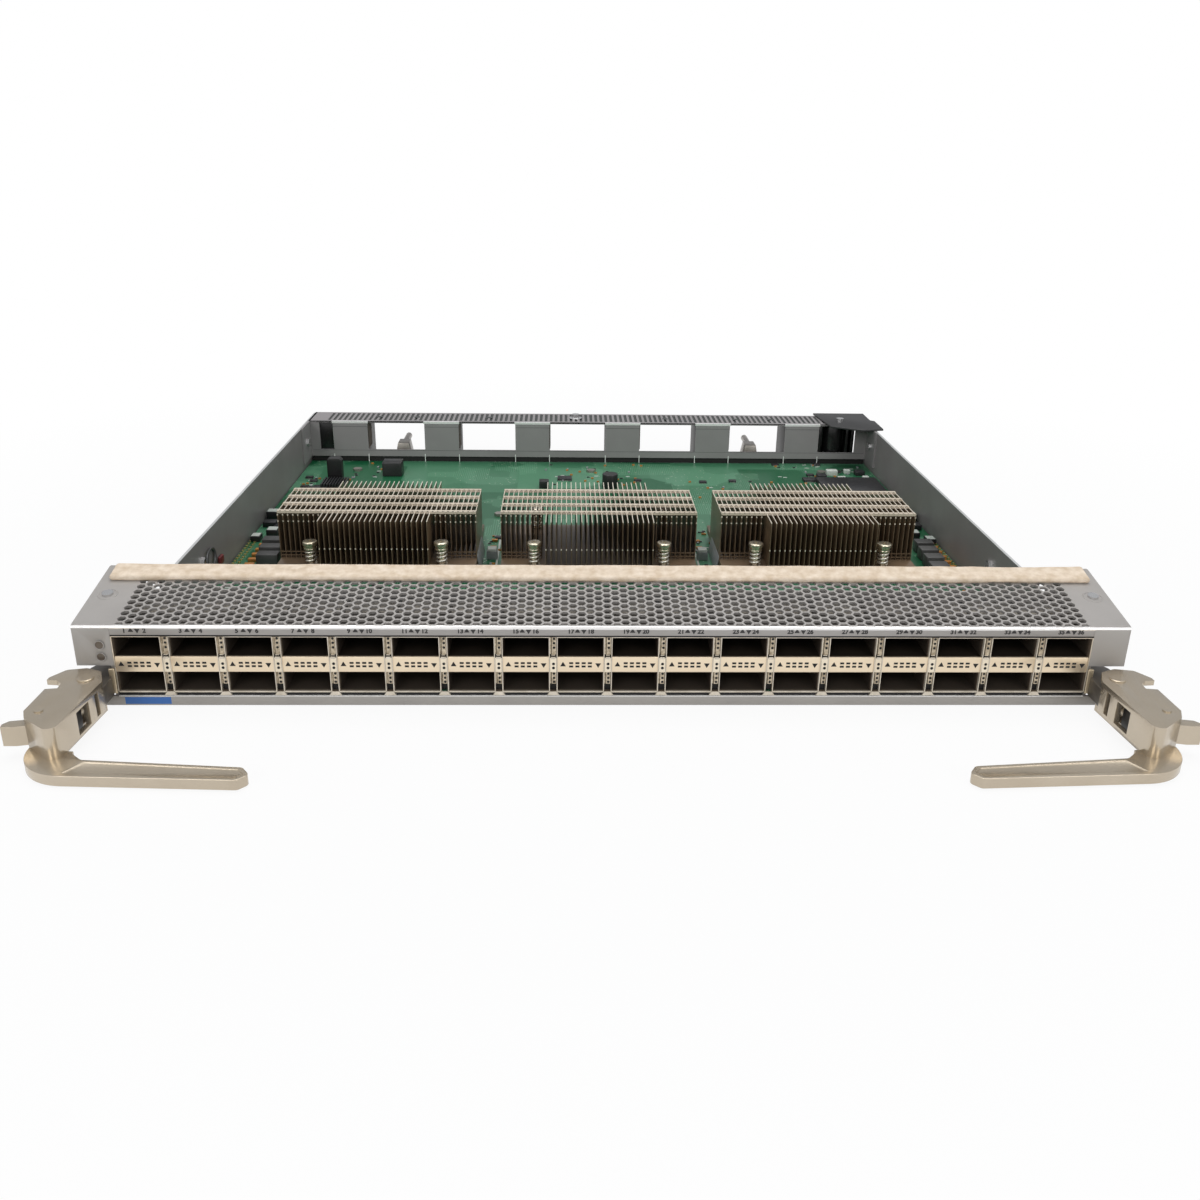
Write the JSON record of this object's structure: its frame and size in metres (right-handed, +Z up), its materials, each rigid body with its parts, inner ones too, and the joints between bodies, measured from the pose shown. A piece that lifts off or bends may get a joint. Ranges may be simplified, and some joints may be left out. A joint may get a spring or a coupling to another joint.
{
  "type": "switch line card",
  "caption": "Steel tray with a circuit board, finned heat sinks, a front of stacked ports under a perforated slope, rear connectors and two hinged ejector levers.",
  "frame": {"origin": "middle of the front face's lower edge, on the plane that the tray rests on", "axes": "+X to the right seen from the front, +Y from the front face towards the backplane, +Z up"},
  "size_m": [0.4268, 0.4397, 0.0432],
  "materials": {
    "tray_steel": "zinc plated, dull",
    "front_steel": "fine satin",
    "gasket": "conductive cloth",
    "board": "green solder mask",
    "pale_brass": "nickel plated, satin",
    "spring_steel": "wire",
    "frame_steel": "zinc plated, dull",
    "pin_steel": "turned",
    "connector_black": "moulded",
    "connector_grey": "moulded",
    "lid_black": "black, dull",
    "screw_steel": "bright",
    "choke_grey": "pressed ferrite",
    "module_black": "moulded",
    "light_window": "clear window, unlit",
    "cage_steel": "tin plated sheet",
    "band_steel": "tin plated sheet",
    "socket_black": "moulded",
    "sink_metal": "nickel plated",
    "chip_dark": "package",
    "ejector_metal": "nickel plated casting"
  },
  "bodies": {
    "card": {"base_pan": "tray_steel", "front_cover": "front_steel", "end_bracket_left": "front_steel", "end_bracket_right": "front_steel", "emi_gasket": "gasket", "circuit_board": "board", "heat_sink_screws": "pale_brass", "heat_sink_springs": "spring_steel", "rear_frame": "frame_steel", "guide_pins": "pin_steel", "power_connector_left": "connector_black", "power_connector_right": "connector_black", "corner_lid": "lid_black", "frame_screws": "screw_steel", "board_screws": "screw_steel", "power_chokes_left": "choke_grey", "power_chokes_right": "choke_grey", "board_modules": "module_black", "status_lights": "light_window", "cage_shell_1": "cage_steel", "cage_floor_1": "cage_steel", "cage_dividers_1": "cage_steel", "light_bands_1": "band_steel", "port_connectors_1": "socket_black", "heat_sink_1": "sink_metal", "switch_chip_1": "chip_dark", "cage_shell_2": "cage_steel", "cage_floor_2": "cage_steel", "cage_dividers_2": "cage_steel", "light_bands_2": "band_steel", "port_connectors_2": "socket_black", "heat_sink_2": "sink_metal", "switch_chip_2": "chip_dark", "cage_shell_3": "cage_steel", "cage_floor_3": "cage_steel", "cage_dividers_3": "cage_steel", "light_bands_3": "band_steel", "port_connectors_3": "socket_black", "heat_sink_3": "sink_metal", "switch_chip_3": "chip_dark", "backplane_connector_1": "connector_grey", "backplane_connector_2": "connector_grey", "backplane_connector_3": "connector_grey", "backplane_connector_4": "connector_grey", "backplane_connector_5": "connector_grey", "backplane_connector_6": "connector_grey", "ejector_lug_left": "ejector_metal", "pivot_pin_left": "pin_steel", "ejector_lug_right": "ejector_metal", "pivot_pin_right": "pin_steel"},
    "left_lever": {"ejector_lever_left": "ejector_metal", "ejector_housing_left": "ejector_metal", "trigger_pin_left": "pin_steel", "trigger_spring_left": "spring_steel"},
    "left_trigger": {"ejector_trigger_left": "ejector_metal"},
    "right_lever": {"ejector_lever_right": "ejector_metal", "ejector_housing_right": "ejector_metal", "trigger_pin_right": "pin_steel", "trigger_spring_right": "spring_steel"},
    "right_trigger": {"ejector_trigger_right": "ejector_metal"}
  },
  "joints": [
    {"name": "left_ejector_pivot", "type": "hinge", "parent": "card", "child": "left_lever", "pos_m": [-0.1946, -0.0105, 0.0085], "axis": [0, 0, -1], "range_deg": [0, 60]},
    {"name": "left_trigger_pivot", "type": "hinge", "parent": "left_lever", "child": "left_trigger", "pos_m": [-0.2008, -0.0366, 0.0085], "axis": [0, 0, -1], "range_deg": [0, 8], "stiffness_Nm_per_rad": 0.05},
    {"name": "right_ejector_pivot", "type": "hinge", "parent": "card", "child": "right_lever", "pos_m": [0.1946, -0.0105, 0.0085], "axis": [0, 0, 1], "range_deg": [0, 60]},
    {"name": "right_trigger_pivot", "type": "hinge", "parent": "right_lever", "child": "right_trigger", "pos_m": [0.2008, -0.0366, 0.0085], "axis": [0, 0, 1], "range_deg": [0, 8], "stiffness_Nm_per_rad": 0.05}
  ]
}
